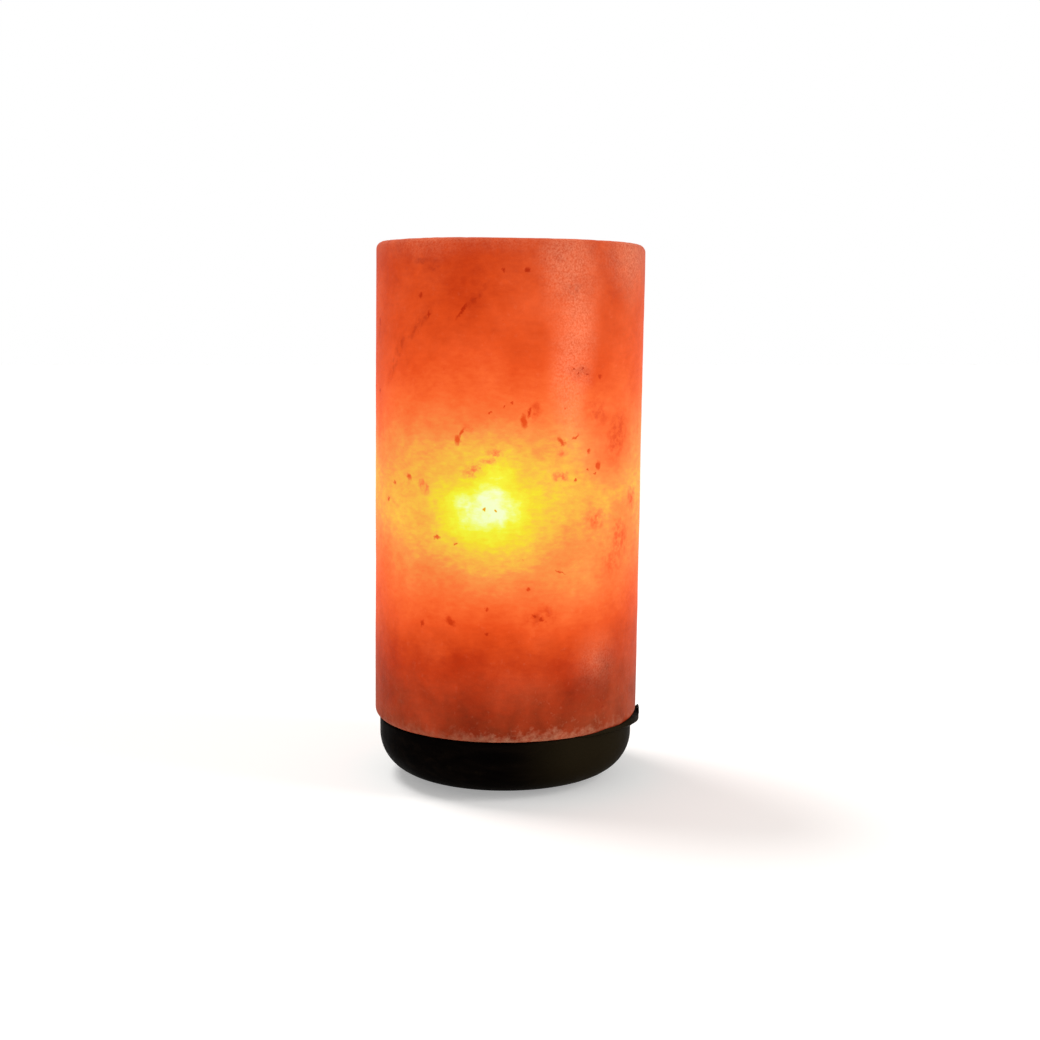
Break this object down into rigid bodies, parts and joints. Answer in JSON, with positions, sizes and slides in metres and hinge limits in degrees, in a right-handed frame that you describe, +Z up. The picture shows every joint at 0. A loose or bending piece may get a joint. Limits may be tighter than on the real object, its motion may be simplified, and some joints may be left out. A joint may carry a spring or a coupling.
{
  "type": "salt crystal lamp",
  "caption": "Turned salt cylinder on a dark wooden base, lit from inside by a small screw-cap bulb whose clip-in lampholder draws out of the base.",
  "frame": {"origin": "on the table, at the centre of the four feet, under the axis of the bore", "axes": "+Z up along the bore, -Y to the front of the pictured view, +X to the right"},
  "size_m": [0.1023, 0.1, 0.2001],
  "materials": {
    "salt": "satin",
    "dark_wood": "satin",
    "zinc_steel": "satin",
    "nylon": "matte",
    "black_rubber": "matte",
    "phenolic": "gloss",
    "white_insulator": "matte",
    "brass": "satin",
    "spring_steel": "satin",
    "solder": "satin",
    "black_glass": "gloss",
    "clear_glass": "gloss",
    "tungsten": "matte"
  },
  "bodies": {
    "lampholder": {"holder_housing": "phenolic", "terminal_block": "white_insulator", "terminal_plates": "brass", "terminal_screws": "brass", "screw_liner": "brass", "contact_tongue": "brass", "holder_end_cap": "phenolic", "cord_inlet_tube": "zinc_steel", "cord_bushing": "black_rubber", "lock_nut": "zinc_steel", "clip_yoke": "spring_steel"},
    "lamp_body": {"salt_block": "salt", "wooden_base": "dark_wood", "base_screws": "zinc_steel", "screw_plugs": "nylon", "rubber_feet": "black_rubber"},
    "clip_left": {"clip_wing_left": "spring_steel"},
    "clip_right": {"clip_wing_right": "spring_steel"},
    "bulb_foot": {"bulb_contact_button": "solder", "bulb_insulator": "black_glass"},
    "bulb": {"bulb_screw_cap": "brass", "glass_envelope": "clear_glass", "glass_stem": "clear_glass", "lead_wires": "zinc_steel", "filament": "tungsten", "filament_supports": "tungsten"}
  },
  "joints": [
    {"name": "holder_slide", "type": "slide", "parent": "lampholder", "child": "lamp_body", "axis": [0, 0, 1], "range_m": [0, 0.13]},
    {"name": "left_wing_pinch", "type": "hinge", "parent": "lampholder", "child": "clip_left", "pos_m": [-0.0115, 0, 0.0338], "axis": [0, -1, 0], "range_deg": [0, 9], "stiffness_Nm_per_rad": 0.5, "springref_deg": -6.88},
    {"name": "right_wing_pinch", "type": "hinge", "parent": "lampholder", "child": "clip_right", "pos_m": [0.0115, 0, 0.0338], "axis": [0, 1, 0], "range_deg": [0, 9], "stiffness_Nm_per_rad": 0.5, "springref_deg": -6.88},
    {"name": "bulb_lift", "type": "slide", "parent": "lampholder", "child": "bulb_foot", "axis": [0, 0, 1], "range_m": [0, 0.0092]},
    {"name": "bulb_turn", "type": "hinge", "parent": "bulb_foot", "child": "bulb", "pos_m": [0, 0, 0.063], "axis": [0, 0, 1], "range_deg": [0, 1080]}
  ],
  "couplings": [
    {"joint": "bulb_lift", "follows": "bulb_turn", "m_per_rad": 0.00044914}
  ]
}
